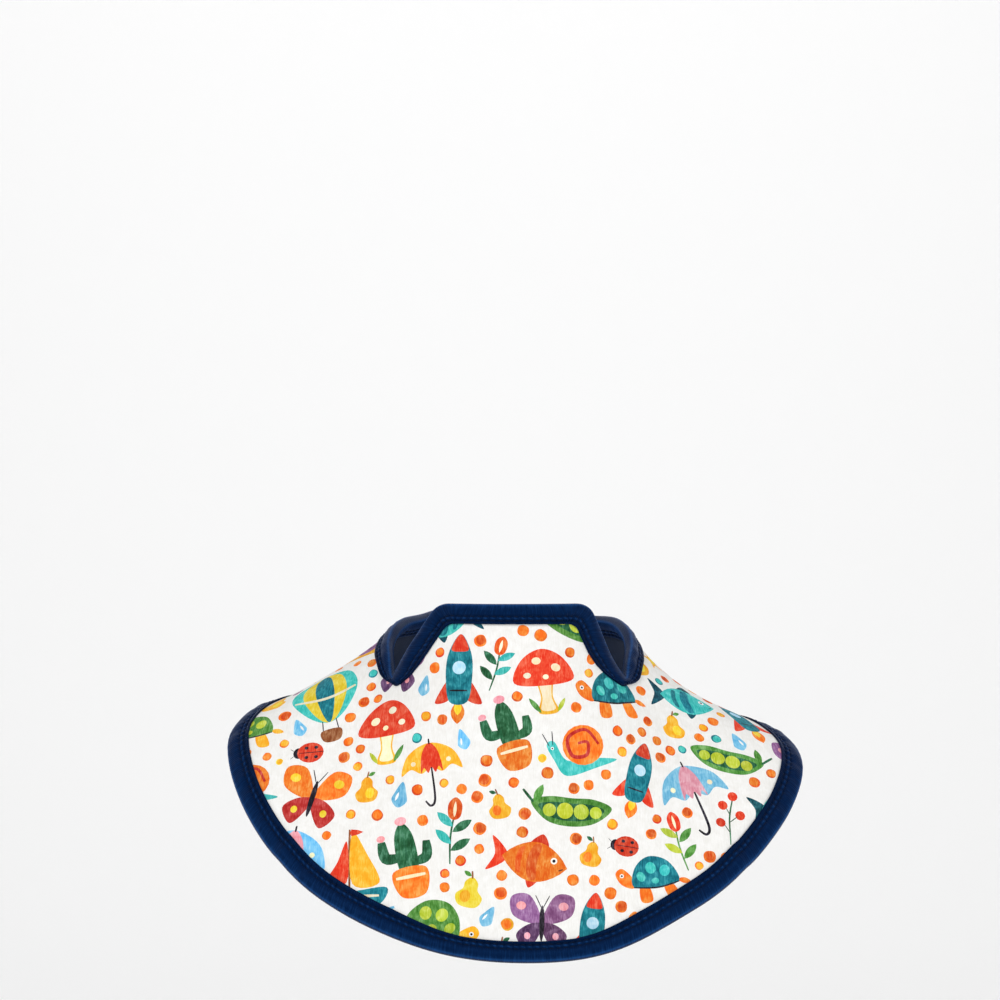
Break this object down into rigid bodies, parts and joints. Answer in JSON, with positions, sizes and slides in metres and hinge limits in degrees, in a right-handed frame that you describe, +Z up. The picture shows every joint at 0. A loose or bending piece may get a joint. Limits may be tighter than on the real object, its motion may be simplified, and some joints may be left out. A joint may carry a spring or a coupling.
{
  "type": "thyroid shield collar",
  "caption": "Padded radiation shield collar with a throat flap, a rounded bib over the chest and shoulders, bound edges and wings that close behind the neck.",
  "frame": {"origin": "on the axis of the neck, level with the bottoms of the two neck notches", "axes": "+Z up, +X to the viewer's right, the wearer faces -Y"},
  "size_m": [0.2657, 0.171, 0.161],
  "materials": {
    "printed_cover": "woven cover with a painted-look print over a flexible shielding core",
    "lining_cloth": "matt woven lining",
    "binding_tape": "ribbed bias tape, soft sheen",
    "hook_and_loop": "matt hook-and-loop pile"
  },
  "bodies": {
    "root": {"shield_panel": "printed_cover", "inner_lining": "lining_cloth", "edge_binding": "binding_tape", "back_closure": "hook_and_loop"}
  },
  "joints": []
}
